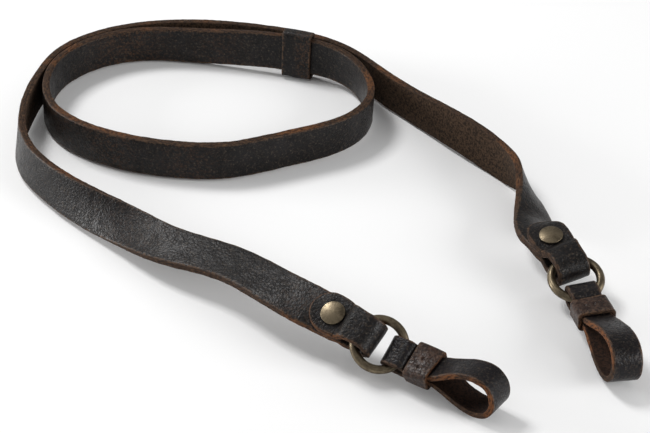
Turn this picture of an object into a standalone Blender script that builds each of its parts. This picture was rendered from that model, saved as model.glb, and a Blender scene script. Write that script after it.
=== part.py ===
"""A leather camera neck strap, lying on a table.

The strap lies on edge in one oval turn, and its outer run goes from ring A round the left of the turn,
along the turn's back and on to ring B. Both ends are folded back round a wire ring and riveted, and each
ring carries a narrow leather loop, pinched by a small sleeve, that goes round a camera's lug.
Lengths are in metres, +Z is up, and the table is at Z = 0.
"""
import math

import bmesh
import bpy
import numpy as np
from mathutils import Vector

# The strap's leather
STRAP_WIDTH = 0.0150
STRAP_THICKNESS = 0.0028
EDGE_EASE = 0.0003
CLEARANCE = 0.0003

# How far the strap reaches over the table, along its centre line
TURN_LENGTH = 0.1252
TURN_DEPTH = 0.0850
ARM_A_REACH = 0.1850
ARM_B_REACH = 0.1500

# The folded and riveted ends
LEAF_WIDTH = 0.0140
NECK_WIDTH = 0.0113
NECK_LENGTH = 0.0015
TAB_SET_BACK = 0.0133
TAPER_LENGTH = 0.0130
RIVET_SET_BACK = 0.0120
CAP_RADIUS = 0.0041
CAP_RIM = 0.0005
CAP_DOME = 0.0006
POST_RADIUS = 0.0014
BACK_RADIUS = 0.0032
BACK_THICKNESS = 0.0005
RIM_EASE = 0.0002
CUTTER_LENGTH = 0.0168

# The rings
RING_RADIUS = 0.0083
WIRE_RADIUS = 0.00145

# How much of the wire's bend the folds make room for, how far a ring sits back from its fold, and how high
# the camera loops hold the rings
RING_SLACK = 0.34
RING_BACK = 0.0006
LOOP_SLACK = 0.35
LOOP_HOLD = 0.0055

# The slide keeper on the turn
KEEPER_LENGTH = 0.0120
KEEPER_WALL = 0.0011
KEEPER_SLACK = 0.0009
KEEPER_PLACE = 0.372
KEEPER_LIFT_REACH = 0.045

# The camera loops and their sleeves
LOOP_WIDTH = 0.0101
LOOP_THICKNESS = 0.0020
SLEEVE_START = 0.0044
SLEEVE_LENGTH = 0.0088
SLEEVE_WALL = 0.0011
TUBE_CORNER = 0.0006
EYE_LENGTH_A = 0.0232
EYE_LENGTH_B = 0.0276
EYE_HEIGHT = 0.0140
TWIST_REACH = 0.65

# How finely curves are drawn
STATION_STEP = 0.0040
SIGHT = 0.0040
END_STEP = 0.0014
END_STEPS = 12
FOLD_STEPS = 9
LEAF_STEPS = 10
TIP_TURNS = (0.0, 20.0, 38.0, 54.0, 68.0, 80.0)
DOME_TURNS = (0.0, 14.0, 27.0, 40.0)
CORNER_TURNS = (0.0, 30.0, 60.0, 90.0)
HALF_FOLD_POINTS = 5
CLOSING_POINTS = 6
EYE_POINTS = 15
EYE_TURN = 174.0
KEEPER_POINTS = 5
SLEEVE_POINTS = 4
ROUND_SIDES = 24
RING_SIDES = 32
WIRE_SIDES = 8
HOLE_SIDES = 12
DENSE = 40
EASE_ANGLE = 50.0

# The steepest rise and fall tried for a camera loop on the table, in degrees, and the halvings between them
STEEPEST_RISE = -70.0
STEEPEST_FALL = 50.0
HALVINGS = 30

# The oval turn's centre line, clockwise from its left end, as shares of its half length and half depth,
# with the lean of its top edge towards the middle of the turn
TURN_ROWS = (
    # along, across, lean
    (-1.000, 0.007, 3.0),
    (-0.933, 0.536, 4.0),
    (-0.565, 0.955, 4.0),
    (-0.227, 0.979, 1.0),
    (0.150, 0.872, -5.0),
    (0.588, 0.694, -5.0),
    (0.835, 0.508, 1.0),
    (0.992, -0.228, -4.0),
    (0.883, -0.504, -4.0),
    (0.492, -0.819, -1.0),
    (0.147, -0.993, 0.0),
    (-0.187, -0.976, 2.0),
    (-0.626, -0.751, 1.0),
    (-0.920, -0.360, 1.0),
)

# The run where it lies beside the turn: the place as a share of the way round the turn from its left end,
# the free gap as a share of the strap's width, whether the keeper is in between, and the lean
BESIDE_ROWS = (
    # place, gap, keeper, lean
    (-0.020, 0.300, 0.0, 5.0),
    (0.013, 0.080, 0.0, 4.0),
    (0.040, 0.000, 0.0, 4.0),
    (0.070, 0.000, 0.0, 4.0),
    (0.100, 0.000, 0.0, 4.0),
    (0.130, 0.000, 0.0, 4.0),
    (0.160, 0.030, 0.0, 3.0),
    (0.200, 0.140, 0.0, 1.0),
    (0.250, 0.300, 0.0, 0.0),
    (0.300, 0.350, 0.0, 0.0),
    (0.345, 0.220, 1.0, -2.0),
    (0.395, 0.150, 1.0, -1.0),
    (0.430, 0.140, 0.0, 0.0),
)

# The arms that leave the turn, from where they leave it to the fold at the ring, as shares of the arm's
# reach, with the lean, and the lift off the table as a share of the strap's width
ARM_A_ROWS = (
    # along, across, lean, lift
    (-0.002, -0.080, 9.0, 0.00),
    (0.019, -0.171, 11.5, 0.00),
    (0.079, -0.262, 14.0, 0.00),
    (0.176, -0.351, 34.0, 0.00),
    (0.252, -0.411, 57.0, 0.13),
    (0.324, -0.474, 73.0, 0.36),
    (0.443, -0.547, 81.0, 0.58),
    (0.550, -0.648, 75.0, 0.66),
    (0.631, -0.706, 64.0, 0.48),
    (0.691, -0.749, 61.0, 0.36),
)
ARM_B_ROWS = (
    # along, across, lean, lift
    (0.095, -0.121, 1.0, 0.00),
    (0.197, -0.244, -2.0, 0.00),
    (0.300, -0.363, -10.0, 0.00),
    (0.392, -0.492, 5.0, 0.00),
    (0.407, -0.532, 15.0, 0.08),
    (0.427, -0.690, 66.0, 0.10),
    (0.430, -0.778, 90.0, 0.55),
    (0.450, -0.822, 98.0, 0.52),
    (0.484, -0.898, 97.0, 0.39),
)

# How each end's camera loop hangs from its ring: its turn round the ring, its twist along its length, and
# the length of its eye
END_ROWS = {
    # turn, twist, eye
    "a": (5.0, 34.0, EYE_LENGTH_A),
    "b": (-9.0, 10.0, EYE_LENGTH_B),
}

COLLECTION = bpy.data.collections.new("camera_neck_strap")
CUTTERS = bpy.data.collections.new("cutters")


def clear_scene():
    """Removes whatever the scene holds, and adds the two collections."""
    for thing in list(bpy.data.objects):
        bpy.data.objects.remove(thing, do_unlink=True)
    bpy.context.scene.collection.children.link(COLLECTION)
    bpy.context.scene.collection.children.link(CUTTERS)


def finish(name, red, green, blue, roughness, metallic=0.0):
    """A plain material of one colour."""
    material = bpy.data.materials.new(name)
    material.use_nodes = True
    shader = material.node_tree.nodes["Principled BSDF"]
    shader.inputs["Base Color"].default_value = (red, green, blue, 1.0)
    shader.inputs["Roughness"].default_value = roughness
    shader.inputs["Metallic"].default_value = metallic
    material.diffuse_color = (red, green, blue, 1.0)
    return material


def put(name, mesh, material, collection=COLLECTION):
    """A new object of a mesh, in its collection and with its material."""
    thing = bpy.data.objects.new(name, mesh)
    collection.objects.link(thing)
    mesh.materials.append(material)
    return thing


def unit(vectors):
    """The same vectors at length 1."""
    return vectors / np.linalg.norm(vectors, axis=-1, keepdims=True)


def ease(share):
    """Goes from 0 to 1 with a level start and end."""
    share = np.clip(share, 0.0, 1.0)
    return share * share * (3.0 - 2.0 * share)


def spline(knots, values, at):
    """A natural cubic spline: cubics through the values whose slope and bend run on across each knot."""
    steps = np.diff(knots)
    count = len(knots)
    system = np.eye(count)
    right = np.zeros_like(values)
    for i in range(1, count - 1):
        system[i, i - 1:i + 2] = steps[i - 1], 2.0 * (steps[i - 1] + steps[i]), steps[i]
        rise_after = (values[i + 1] - values[i]) / steps[i]
        rise_before = (values[i] - values[i - 1]) / steps[i - 1]
        right[i] = 6.0 * (rise_after - rise_before)
    bend = np.linalg.solve(system, right)
    i = np.clip(np.searchsorted(knots, at) - 1, 0, count - 2)
    step = steps[i][:, None]
    before = (knots[i + 1] - at)[:, None] / step
    after = 1.0 - before
    straight = before * values[i] + after * values[i + 1]
    bent = (before ** 3 - before) * bend[i] + (after ** 3 - after) * bend[i + 1]
    return straight + bent * step ** 2 / 6.0


def travelled(points):
    """The distance travelled along a row of points, up to each of them."""
    return np.concatenate([[0.0], np.cumsum(np.linalg.norm(np.diff(points, axis=0), axis=1))])


def rest_height(lean):
    """The height of the strap's middle when its lowest corner touches the table, at a lean from upright."""
    return 0.5 * (STRAP_WIDTH * np.abs(np.cos(lean)) + STRAP_THICKNESS * np.abs(np.sin(lean)))


def read_at(at, way, table, period=None):
    """The rows of a table read at places along its way, straight between its rows."""
    return np.column_stack([np.interp(at, way, column, period=period) for column in table.T])


def lay_strap(rows, closed):
    """A strap laid through rows of x, y, lean and lift, as stations.

    Each station has its centre, the way along, the way across to the top edge, and the way to the flesh
    side, which faces the middle of the turn. The way along is read over a sight to either side. A closed
    strap's rows run three times round, and the middle round is kept. An open one has closer stations at its
    ends.
    """
    count = len(rows)
    if closed:
        rows = np.vstack([rows, rows, rows, rows[:1]])
    knots = travelled(rows[:, :2])
    first, last = (knots[count], knots[2 * count]) if closed else (knots[0], knots[-1])
    dense = spline(knots, rows, np.linspace(first, last, DENSE * count))
    way = travelled(dense[:, :2])
    length = way[-1]
    laid = np.column_stack([dense[:, :2], rest_height(dense[:, 2]) + dense[:, 3]])
    stations = np.linspace(0.0, length, round(length / STATION_STEP) + 1)
    if closed:
        stations = stations[:-1]
        ahead, behind = read_at(stations + SIGHT, way, laid, length), read_at(stations - SIGHT, way, laid, length)
    else:
        near = np.arange(END_STEPS) * END_STEP
        middle = stations[(stations > near[-1] + END_STEP) & (stations < length - near[-1] - END_STEP)]
        stations = np.concatenate([near, middle, length - near[::-1]])
        ahead, behind = read_at(stations + SIGHT, way, laid), read_at(stations - SIGHT, way, laid)
    lean = np.interp(stations, way, dense[:, 2])
    along = unit(ahead - behind)
    up = np.array([0.0, 0.0, 1.0])
    upright = unit(up - along * (along @ up)[:, None])
    inward = np.cross(along, upright)
    across = np.cos(lean)[:, None] * upright + np.sin(lean)[:, None] * inward
    return {"way": stations, "centre": read_at(stations, way, laid), "along": along, "across": across,
            "flesh": np.cross(along, across), "lean": lean, "length": length}


def strip(name, centre, across, half_width, thickness, material, closed):
    """A strip of leather of even thickness: rows of two points, made thick and eased at its edges."""
    mesh = bpy.data.meshes.new(name)
    shape = bmesh.new()
    reach = across * half_width[:, None]
    lefts = [shape.verts.new(point) for point in centre - reach]
    rights = [shape.verts.new(point) for point in centre + reach]
    count = len(lefts)
    for i in range(count if closed else count - 1):
        j = (i + 1) % count
        shape.faces.new((lefts[i], lefts[j], rights[j], rights[i]))
    shape.to_mesh(mesh)
    shape.free()
    thing = put(name, mesh, material)
    thicken(thing, thickness)
    return thing


def thicken(thing, thickness):
    """Gives an open surface its wall, half to each side, and eases the edges of the wall."""
    wall = thing.modifiers.new("wall", "SOLIDIFY")
    wall.thickness = thickness
    wall.offset = 0.0
    wall.use_even_offset = True
    easing = thing.modifiers.new("easing", "BEVEL")
    easing.width = EDGE_EASE
    easing.segments = 1
    easing.limit_method = "ANGLE"
    easing.angle_limit = math.radians(EASE_ANGLE)


def lay_turn():
    """The closed oval turn, lifted a little where the keeper passes beneath it."""
    table = np.array(TURN_ROWS)
    rows = np.column_stack([
        table[:, 0] * TURN_LENGTH / 2.0, table[:, 1] * TURN_DEPTH / 2.0,
        np.radians(table[:, 2]), np.zeros(len(table))])
    turn = lay_strap(rows, closed=True)
    length = turn["length"]
    off = np.abs((turn["way"] / length - KEEPER_PLACE + 0.5) % 1.0 - 0.5) * length
    lift = ease(1.0 - (off - KEEPER_LENGTH / 2.0) / KEEPER_LIFT_REACH)
    turn["centre"][:, 2] += (KEEPER_WALL + CLEARANCE + KEEPER_SLACK) * lift
    return turn


def place_on(turn, place, key):
    """A value of the turn at a share of the way round it."""
    count = len(turn["centre"])
    at = (place % 1.0) * count
    i = int(at) % count
    share = at - int(at)
    return (1.0 - share) * turn[key][i] + share * turn[key][(i + 1) % count]


def beside(turn, place, gap, keeper, lean):
    """A point of the run beside the turn: outside it by the leather, the clearance and the free gap."""
    flesh = place_on(turn, place, "flesh")
    outward = unit(-flesh[:2])
    turn_lean = place_on(turn, place, "lean")
    spread = STRAP_WIDTH / 2.0 * abs(math.sin(lean - turn_lean))
    off = STRAP_THICKNESS + CLEARANCE + spread + gap * STRAP_WIDTH + keeper * (KEEPER_WALL + 2.0 * CLEARANCE)
    return place_on(turn, place, "centre")[:2] + outward * off


def lay_run(turn):
    """The outer run, from the fold at ring A, beside the turn, to the fold at ring B."""
    middle = []
    for place, gap, keeper, lean in BESIDE_ROWS:
        lean = math.radians(lean)
        middle.append((*beside(turn, place, gap, keeper, lean), lean, 0.0))
    arms = []
    for base, reach, table in ((middle[0], ARM_A_REACH, ARM_A_ROWS), (middle[-1], ARM_B_REACH, ARM_B_ROWS)):
        arms.append([(base[0] + along * reach, base[1] + across * reach, math.radians(lean), lift * STRAP_WIDTH)
                     for along, across, lean, lift in table])
    run = lay_strap(np.array(arms[0][::-1] + middle + arms[1]), closed=False)
    set_back = np.minimum(run["way"], run["length"] - run["way"])
    run["centre"] += run["flesh"] * (fold_dip() * bulge(set_back))[:, None]
    return run


def wire_sagitta(half_width):
    """How far the ring's wire bends away over a half width across it."""
    return RING_RADIUS - math.sqrt(RING_RADIUS ** 2 - half_width ** 2)


def wire_pocket():
    """How far back from the fold's middle the ring's wire reaches."""
    return wire_sagitta(NECK_WIDTH / 2.0) + WIRE_RADIUS + RING_BACK + CLEARANCE


def fold_radius():
    """The radius of the fold at the middle of the leather, which leaves room for the tilted wire."""
    slack = wire_sagitta(NECK_WIDTH / 2.0) * RING_SLACK
    return STRAP_THICKNESS / 2.0 + CLEARANCE + WIRE_RADIUS + slack


def fold_dip():
    """How far each leaf bends away from the other to go round the wire."""
    return fold_radius() - (STRAP_THICKNESS + CLEARANCE) / 2.0


def bulge(set_back):
    """How far the leaves are bent apart at a distance back from the fold: 1 at the wire, 0 at the rivet."""
    closes = RIVET_SET_BACK - CAP_RADIUS
    return ease((closes - set_back) / (closes - wire_pocket()))


def leaf_width(set_back):
    """The half width of both leaves, which widen from the neck at the ring up to the rivet."""
    widening = ease((set_back - NECK_LENGTH) / (RIVET_SET_BACK - NECK_LENGTH))
    return (NECK_WIDTH + (LEAF_WIDTH - NECK_WIDTH) * widening) / 2.0


class End:
    """One end of the run: its frame at the fold, and its ring."""

    def __init__(self, run, which):
        first = which == "a"
        at = 0 if first else -1
        self.which = which
        turn, twist, self.eye_length = END_ROWS[which]
        self.turn, self.twist = math.radians(turn), math.radians(twist)
        self.out = -run["along"][at] if first else run["along"][at]
        self.side = run["across"][at]
        self.grain = -run["flesh"][at]
        self.foot = run["centre"][at]
        order = slice(None) if first else slice(None, None, -1)
        self.below = {key: run[key][order] for key in ("centre", "across", "flesh")}
        self.below["way"] = run["way"] if first else run["length"] - run["way"][::-1]
        middle = self.foot + self.grain * fold_radius()
        self.tilt = self.tilt_to_table(middle)
        self.ring_out = self.out * math.cos(self.tilt) + self.grain * math.sin(self.tilt)
        self.ring_up = self.grain * math.cos(self.tilt) - self.out * math.sin(self.tilt)
        sagitta = wire_sagitta(NECK_WIDTH / 2.0)
        wire = middle - self.ring_out * (sagitta + RING_BACK) + self.grain * sagitta * math.sin(self.tilt) / 2.0
        self.ring_centre = wire + self.ring_out * RING_RADIUS

    def tilt_to_table(self, middle):
        """The ring's tilt out of the end's plane that brings its far side down to where the loop holds it."""
        drop = middle[2] - LOOP_HOLD
        reach = math.hypot(self.out[2], self.grain[2])
        return math.asin(-drop / (2.0 * RING_RADIUS) / reach) - math.atan2(self.out[2], self.grain[2])

    def at(self, set_back, key):
        """A value of the leaf below, at a distance back from the fold."""
        return read_at(set_back, self.below["way"], self.below[key])

    def leaf(self):
        """The leaf above: round the fold, down onto the leaf below, and on to the rounded tip."""
        radius, half = fold_radius(), LEAF_WIDTH / 2.0
        turns = np.radians(np.linspace(0.0, 180.0, FOLD_STEPS + 1))[1:]
        fold = (self.foot + self.grain * radius + np.outer(np.sin(turns), self.out) * radius
                - np.outer(np.cos(turns), self.grain) * radius)
        rounding = np.radians(TIP_TURNS)
        flat = np.linspace(0.0, TAB_SET_BACK, LEAF_STEPS + 1)[1:-1]
        set_back = np.concatenate([flat, TAB_SET_BACK + half * np.sin(rounding)])
        apart = STRAP_THICKNESS + CLEARANCE + 2.0 * fold_dip() * bulge(set_back)
        leaf = self.at(set_back, "centre") - self.at(set_back, "flesh") * apart[:, None]
        widths = np.concatenate([np.full(len(fold), NECK_WIDTH / 2.0), leaf_width(flat), half * np.cos(rounding)])
        across = np.vstack([np.tile(self.side, (len(fold), 1)), self.at(set_back, "across")])
        return np.vstack([fold, leaf]), unit(across), widths

    def rivet_frame(self):
        """The rivet's place on the leaf below, and the way out through the leaf above."""
        back = np.array([RIVET_SET_BACK])
        return self.at(back, "centre")[0], unit(-self.at(back, "flesh")[0])


def run_width(set_back):
    """The half width of the run, which narrows to its leaves behind the rivet and to the neck at the ring."""
    widening = ease((set_back - RIVET_SET_BACK) / TAPER_LENGTH)
    return leaf_width(set_back) + (STRAP_WIDTH - LEAF_WIDTH) / 2.0 * widening


def make_run(run, ends, material):
    """The outer run with both of its folded ends, as one strip, and its rivet holes."""
    set_back = np.minimum(run["way"], run["length"] - run["way"])
    leaf_a, leaf_b = ends[0].leaf(), ends[1].leaf()
    centre = np.vstack([leaf_a[0][::-1], run["centre"], leaf_b[0]])
    across = np.vstack([leaf_a[1][::-1], run["across"], leaf_b[1]])
    widths = np.concatenate([leaf_a[2][::-1], run_width(set_back), leaf_b[2]])
    thing = strip("strap_run", centre, across, widths, STRAP_THICKNESS, material, closed=False)
    for end in ends:
        middle, way_out = end.rivet_frame()
        cutter = cylinder("rivet_hole_" + end.which, POST_RADIUS + CLEARANCE, CUTTER_LENGTH)
        set_along(cutter, middle, way_out)
        cut = thing.modifiers.new(cutter.name, "BOOLEAN")
        cut.object = cutter
        cut.operation = "DIFFERENCE"
        cut.solver = "EXACT"
    return thing


def cylinder(name, radius, depth):
    """A cutter in the shape of a cylinder."""
    mesh = bpy.data.meshes.new(name)
    shape = bmesh.new()
    bmesh.ops.create_cone(shape, cap_ends=True, segments=HOLE_SIDES, radius1=radius, radius2=radius,
                          depth=depth)
    shape.to_mesh(mesh)
    shape.free()
    cutter = bpy.data.objects.new(name, mesh)
    CUTTERS.objects.link(cutter)
    cutter.hide_render = True
    cutter.display_type = "WIRE"
    return cutter


def set_along(thing, place, way):
    """Puts an object at a place with its Z axis along a way."""
    thing.rotation_euler = Vector(way).to_track_quat("Z", "Y").to_euler()
    thing.location = place


def turned(name, profile, material):
    """A turned piece: a profile of radius and height, from top to bottom, taken once round its axis."""
    mesh = bpy.data.meshes.new(name)
    points = [(radius, 0.0, height) for radius, height in profile]
    edges = [(i, i + 1) for i in range(len(points) - 1)]
    mesh.from_pydata(points, edges, [])
    thing = put(name, mesh, material)
    screw = thing.modifiers.new("turning", "SCREW")
    screw.steps = ROUND_SIDES
    screw.render_steps = ROUND_SIDES
    screw.use_merge_vertices = True
    screw.merge_threshold = 0.00001
    return thing


def make_rivet(end, material):
    """The rivet's domed cap with its post, and the flat back that closes it underneath."""
    middle, way_out = end.rivet_frame()
    over = 1.5 * STRAP_THICKNESS + 2.0 * CLEARANCE
    under = -STRAP_THICKNESS / 2.0 - CLEARANCE
    turns = np.radians(DOME_TURNS)
    fall = 1.0 - math.cos(turns[-1])
    dome = [(CAP_RADIUS * math.sin(turn) / math.sin(turns[-1]),
             over + CAP_RIM + CAP_DOME * (1.0 - (1.0 - math.cos(turn)) / fall)) for turn in turns]
    post_end = under + CLEARANCE / 2.0
    cap = turned("rivet_cap_" + end.which, dome + [
        (CAP_RADIUS, over + RIM_EASE), (CAP_RADIUS - RIM_EASE, over), (POST_RADIUS, over),
        (POST_RADIUS, post_end), (0.0, post_end)], material)
    back = turned("rivet_back_" + end.which, [
        (0.0, under), (BACK_RADIUS, under), (BACK_RADIUS, under - BACK_THICKNESS + RIM_EASE),
        (BACK_RADIUS - RIM_EASE, under - BACK_THICKNESS), (0.0, under - BACK_THICKNESS)], material)
    for thing in (cap, back):
        set_along(thing, middle, way_out)


def make_ring(end, material):
    """The wire ring that the folded end holds."""
    bpy.ops.mesh.primitive_torus_add(
        major_radius=RING_RADIUS, minor_radius=WIRE_RADIUS, major_segments=RING_SIDES,
        minor_segments=WIRE_SIDES)
    ring = bpy.context.object
    ring.name = "ring_" + end.which
    for collection in list(ring.users_collection):
        collection.objects.unlink(ring)
    COLLECTION.objects.link(ring)
    ring.data.materials.append(material)
    set_along(ring, end.ring_centre, end.ring_up)
    ring.data.shade_smooth()


class CameraLoop:
    """A camera loop on its ring: its frame at the wire, its side view, and its pitch down to the table."""

    def __init__(self, end):
        sagitta = wire_sagitta(LOOP_WIDTH / 2.0)
        ring_side = np.cross(end.ring_up, end.ring_out)
        self.away = math.cos(end.turn) * end.ring_out + math.sin(end.turn) * ring_side
        self.side = np.cross(end.ring_up, self.away)
        self.up = end.ring_up
        self.start = end.ring_centre + self.away * RING_RADIUS
        self.twist = end.twist
        self.sagitta = sagitta
        self.pinch = (LOOP_THICKNESS + CLEARANCE) / 2.0
        self.sleeve = (SLEEVE_START, SLEEVE_START + SLEEVE_LENGTH)
        self.reach = self.sleeve[1] + end.eye_length
        self.outline = self.side_view()
        self.pitch = self.pitch_to_table()

    def side_view(self):
        """The loop seen from its side: round the wire, closed under the sleeve, and open as a teardrop.

        The eye's half height is sin(turn) * sin(turn / 2) ** 1.5 over a half turn from pinch to end.
        """
        round_wire = LOOP_THICKNESS / 2.0 + CLEARANCE + WIRE_RADIUS
        radius = round_wire + self.sagitta * LOOP_SLACK
        bend = np.radians(np.linspace(180.0, 90.0, HALF_FOLD_POINTS))
        fold = np.column_stack([np.cos(bend) * round_wire - self.sagitta, np.sin(bend) * radius])
        nearing = np.linspace(0.0, 1.0, CLOSING_POINTS)[1:]
        shut_from = WIRE_RADIUS + CLEARANCE
        closing = np.column_stack([
            shut_from + nearing * (self.sleeve[0] - shut_from),
            radius + (self.pinch - radius) * ease(nearing)])
        held = np.array([[self.sleeve[1] + CLEARANCE, self.pinch]])
        turn = np.radians(np.linspace(0.0, EYE_TURN, EYE_POINTS))[1:]
        form = np.sin(turn) * np.sin(turn / 2.0) ** 1.5
        height = (EYE_HEIGHT - LOOP_THICKNESS) / 2.0 / form.max()
        fade = self.pinch * np.cos(turn / 2.0)
        eye = np.column_stack([
            held[0, 0] + (self.reach - held[0, 0]) * (1.0 - np.cos(turn)) / 2.0, fade + form * height])
        upper = np.vstack([fold, closing, held, eye])
        lower = upper[1:][::-1] * np.array([1.0, -1.0])
        return np.vstack([upper, lower])

    def frame(self, pitch):
        """The loop's way out and way up at a pitch about the wire."""
        out = self.away * math.cos(pitch) - self.up * math.sin(pitch)
        up = self.up * math.cos(pitch) + self.away * math.sin(pitch)
        return out, up

    def rows(self, outline, pitch):
        """Centres and ways across of the loop, with the twist growing along it."""
        out, up = self.frame(pitch)
        turn = -self.twist * ease(outline[:, 0] / self.reach / TWIST_REACH)
        across = np.outer(np.cos(turn), self.side) + np.outer(np.sin(turn), up)
        rise = np.outer(np.cos(turn), up) - np.outer(np.sin(turn), self.side)
        centre = self.start + np.outer(outline[:, 0], out) + rise * outline[:, 1:2]
        return centre, across, rise

    def lowest(self, pitch):
        """The loop's lowest point at a pitch."""
        eye = self.outline[self.outline[:, 0] > self.sleeve[1]]
        centre, across, rise = self.rows(eye, pitch)
        return float(np.min(centre[:, 2] - np.abs(across[:, 2]) * LOOP_WIDTH / 2.0
                            - np.abs(rise[:, 2]) * LOOP_THICKNESS / 2.0))

    def pitch_to_table(self):
        """The pitch at which the loop's far end comes to rest on the table, found by halving."""
        clear, sunk = math.radians(STEEPEST_RISE), math.radians(STEEPEST_FALL)
        for _ in range(HALVINGS):
            middle = (clear + sunk) / 2.0
            if self.lowest(middle) > 0.0:
                clear = middle
            else:
                sunk = middle
        return clear


def tube(name, centres, sides, ups, half_side, half_up, wall, material):
    """A flat leather tube round what it holds: a rounded rectangle at each station, made thick."""
    corner = wall / 2.0 + TUBE_CORNER
    a, b = half_side + wall / 2.0 - corner, half_up + wall / 2.0 - corner
    turns = np.radians(CORNER_TURNS)
    ring = []
    for quarter, (x, y) in enumerate(((a, b), (-a, b), (-a, -b), (a, -b))):
        for turn in turns + quarter * math.pi / 2.0:
            ring.append((x + corner * math.cos(turn), y + corner * math.sin(turn)))
    mesh = bpy.data.meshes.new(name)
    shape = bmesh.new()
    rows = [[shape.verts.new(centre + side * x + up * y) for x, y in ring]
            for centre, side, up in zip(centres, sides, ups)]
    count = len(ring)
    for before, after in zip(rows[:-1], rows[1:]):
        for i in range(count):
            j = (i + 1) % count
            shape.faces.new((before[i], before[j], after[j], after[i]))
    bmesh.ops.recalc_face_normals(shape, faces=shape.faces)
    shape.to_mesh(mesh)
    shape.free()
    thing = put(name, mesh, material)
    thicken(thing, wall)
    return thing


def make_keeper(turn, material):
    """The slide keeper, which follows the turn's bend where it wraps it."""
    places = KEEPER_PLACE + np.linspace(-0.5, 0.5, KEEPER_POINTS) * KEEPER_LENGTH / turn["length"]
    centres = [place_on(turn, place, "centre") for place in places]
    sides = [unit(place_on(turn, place, "across")) for place in places]
    ups = [unit(place_on(turn, place, "flesh")) for place in places]
    tube("slide_keeper", centres, sides, ups, STRAP_WIDTH / 2.0 + CLEARANCE + KEEPER_SLACK,
         STRAP_THICKNESS / 2.0 + CLEARANCE, KEEPER_WALL, material)


def make_camera_loop(end, leather, sleeve_leather):
    """A camera loop and the sleeve that pinches it."""
    loop = CameraLoop(end)
    centre, across, _ = loop.rows(loop.outline, loop.pitch)
    widths = np.full(len(centre), LOOP_WIDTH / 2.0)
    strip("camera_loop_" + end.which, centre, across, widths, LOOP_THICKNESS, leather, closed=True)
    stations = np.column_stack([np.linspace(*loop.sleeve, SLEEVE_POINTS), np.zeros(SLEEVE_POINTS)])
    centres, sides, ups = loop.rows(stations, loop.pitch)
    tube("loop_sleeve_" + end.which, centres, sides, ups, LOOP_WIDTH / 2.0 + CLEARANCE,
         loop.pinch + LOOP_THICKNESS / 2.0 + CLEARANCE, SLEEVE_WALL, sleeve_leather)


def centre_all():
    """Moves everything so that the origin is under the middle of the strap's box."""
    bpy.context.view_layer.update()
    graph = bpy.context.evaluated_depsgraph_get()
    corners = []
    for thing in COLLECTION.objects:
        if thing.type == "MESH":
            shown = thing.evaluated_get(graph)
            corners += [shown.matrix_world @ point.co for point in shown.data.vertices]
    corners = np.array(corners)
    low, high = corners.min(axis=0), corners.max(axis=0)
    middle = (-(low[0] + high[0]) / 2.0, -(low[1] + high[1]) / 2.0, -low[2])
    base = bpy.data.objects.new("base", None)
    COLLECTION.objects.link(base)
    base.location = middle
    for thing in list(COLLECTION.objects) + list(CUTTERS.objects):
        if thing is not base:
            thing.parent = base


def main():
    clear_scene()
    strap_leather = finish("strap_leather", 0.030, 0.028, 0.028, 0.45)
    loop_leather = finish("loop_leather", 0.028, 0.026, 0.027, 0.45)
    sleeve_leather = finish("sleeve_leather", 0.075, 0.045, 0.035, 0.55)
    brass = finish("antique_brass", 0.33, 0.27, 0.18, 0.35, 1.0)
    turn = lay_turn()
    run = lay_run(turn)
    ends = [End(run, "a"), End(run, "b")]
    make_run(run, ends, strap_leather)
    strip("strap_turn", turn["centre"], turn["across"], np.full(len(turn["centre"]), STRAP_WIDTH / 2.0),
          STRAP_THICKNESS, strap_leather, closed=True)
    make_keeper(turn, strap_leather)
    for end in ends:
        make_ring(end, brass)
        make_rivet(end, brass)
        make_camera_loop(end, loop_leather, sleeve_leather)
    centre_all()


main()
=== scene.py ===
"""The looks of a leather camera neck strap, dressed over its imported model.

The strap lies on edge in one oval turn, its outer run goes round the turn's left and back, and both of its
ends are folded round a ring and riveted. Every piece here replaces the plain solid of the same name.
"""
import math

import bmesh
import bpy
import numpy as np
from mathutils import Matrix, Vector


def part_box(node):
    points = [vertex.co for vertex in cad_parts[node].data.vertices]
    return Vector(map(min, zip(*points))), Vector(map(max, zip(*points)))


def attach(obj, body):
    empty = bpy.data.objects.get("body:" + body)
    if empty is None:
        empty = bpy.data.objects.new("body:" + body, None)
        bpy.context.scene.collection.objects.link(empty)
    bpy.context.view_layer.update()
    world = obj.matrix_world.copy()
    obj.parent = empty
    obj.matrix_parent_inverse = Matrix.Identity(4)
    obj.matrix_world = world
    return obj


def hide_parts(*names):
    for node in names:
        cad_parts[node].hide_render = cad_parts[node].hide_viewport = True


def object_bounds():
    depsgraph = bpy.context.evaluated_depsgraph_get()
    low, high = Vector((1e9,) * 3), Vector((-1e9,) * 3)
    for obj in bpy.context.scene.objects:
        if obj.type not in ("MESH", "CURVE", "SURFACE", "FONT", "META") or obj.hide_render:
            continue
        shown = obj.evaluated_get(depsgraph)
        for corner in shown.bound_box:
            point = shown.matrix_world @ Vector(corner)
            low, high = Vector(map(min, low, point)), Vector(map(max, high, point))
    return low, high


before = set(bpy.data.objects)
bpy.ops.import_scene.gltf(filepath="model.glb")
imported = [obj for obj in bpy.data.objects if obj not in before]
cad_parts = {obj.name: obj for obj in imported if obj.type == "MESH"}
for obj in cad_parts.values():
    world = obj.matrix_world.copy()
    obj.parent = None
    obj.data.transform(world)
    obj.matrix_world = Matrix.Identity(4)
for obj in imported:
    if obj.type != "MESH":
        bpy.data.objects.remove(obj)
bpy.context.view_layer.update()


# The oval turn
# One length of bridle leather, dyed black on its grain side and cut with a strap knife, so that both of its
# edges show the brown hide. It lies on edge in one closed oval, where the worn places have lost their dye.
STRAP_WIDTH = 0.0150
STRAP_THICKNESS = 0.0028
CLEARANCE = 0.0003
TURN_LENGTH = 0.1252
TURN_DEPTH = 0.0850
KEEPER_LENGTH = 0.0120
KEEPER_WALL = 0.0011
KEEPER_SLACK = 0.0009
KEEPER_PLACE = 0.372
KEEPER_LIFT_REACH = 0.045
SIGHT_STEP = 0.0040
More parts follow.
